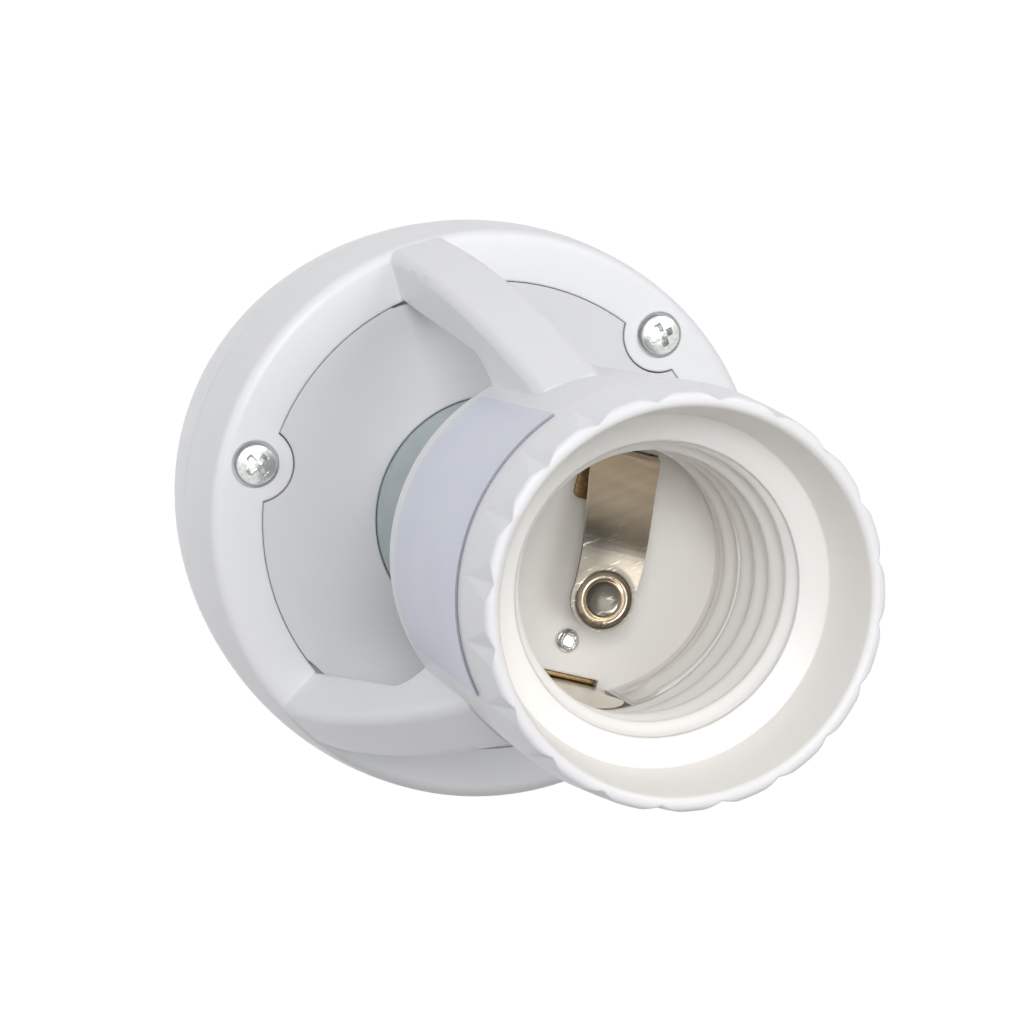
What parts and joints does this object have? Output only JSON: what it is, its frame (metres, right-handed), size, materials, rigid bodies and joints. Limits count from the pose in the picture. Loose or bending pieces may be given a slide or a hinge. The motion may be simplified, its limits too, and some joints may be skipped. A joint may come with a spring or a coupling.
{
  "type": "motion sensor lamp holder",
  "caption": "White screw-in lamp holder whose threaded socket stands on curved arms above a domed motion sensor lens in a bowl-shaped housing with a screw base.",
  "frame": {"origin": "on the axis, where the bowl's neck seats on the lamp fitting that the screw base enters", "axes": "+Z along the axis, out of the socket's mouth; +Y through the arm that carries the live lead"},
  "size_m": [0.063, 0.063, 0.133],
  "materials": {
    "white_plastic": "satin moulded white plastic",
    "lens_plastic": "milky grey-green polyethylene, smooth",
    "nickel_steel": "nickel plated, bright",
    "nickel_spring": "nickel plated spring strip, bright",
    "brown_brass": "dull brass",
    "label_foil": "printed foil, satin, left bare",
    "brown_insulation": "smooth wire insulation",
    "blue_insulation": "smooth wire insulation",
    "board_laminate": "green lacquered laminate",
    "dark_filter": "dark filter pane",
    "amber_resin": "clear amber resin",
    "black_resin": "matt moulded resin",
    "yellow_film": "glossy moulded case",
    "black_sleeve": "shrunk sleeve",
    "beige_lacquer": "matt lacquer",
    "nickel_shell": "rolled nickel plated shell",
    "black_insulator": "glossy black insulator"
  },
  "bodies": {
    "holder": {"socket_cage": "white_plastic", "rear_housing": "white_plastic", "sensor_plate": "white_plastic", "pir_lens": "lens_plastic", "housing_screws": "nickel_steel", "rating_label": "label_foil", "centre_contact_base": "brown_brass", "side_contact_base": "brown_brass", "contact_rivets": "nickel_steel", "socket_back_cover": "white_plastic", "live_lead": "brown_insulation", "neutral_lead": "blue_insulation", "circuit_board": "board_laminate", "pir_sensor": "nickel_steel", "sensor_window": "dark_filter", "light_sensor": "amber_resin", "control_chip": "black_resin", "film_capacitor": "yellow_film", "electrolytic_capacitors": "black_sleeve", "triac": "black_resin", "rectifier_diodes": "black_resin", "resistors": "beige_lacquer", "board_screws": "nickel_steel", "screw_cap": "nickel_shell", "cap_insulator": "black_insulator", "cap_tip_contact": "brown_brass", "cap_tip_lead": "brown_insulation", "cap_shell_lead": "blue_insulation"},
    "centre_leaf": {"centre_contact": "nickel_spring"},
    "side_leaf": {"side_contact": "nickel_spring"}
  },
  "joints": [
    {"name": "centre_leaf_flex", "type": "hinge", "parent": "holder", "child": "centre_leaf", "pos_m": [0.00596, 0.00855, 0.077], "axis": [0.8572, -0.515, 0], "range_deg": [0, 10], "stiffness_Nm_per_rad": 0.3},
    {"name": "side_leaf_flex", "type": "hinge", "parent": "holder", "child": "side_leaf", "pos_m": [-0.00623, -0.01037, 0.077], "axis": [0.8572, -0.515, 0], "range_deg": [0, 6], "stiffness_Nm_per_rad": 0.3}
  ]
}
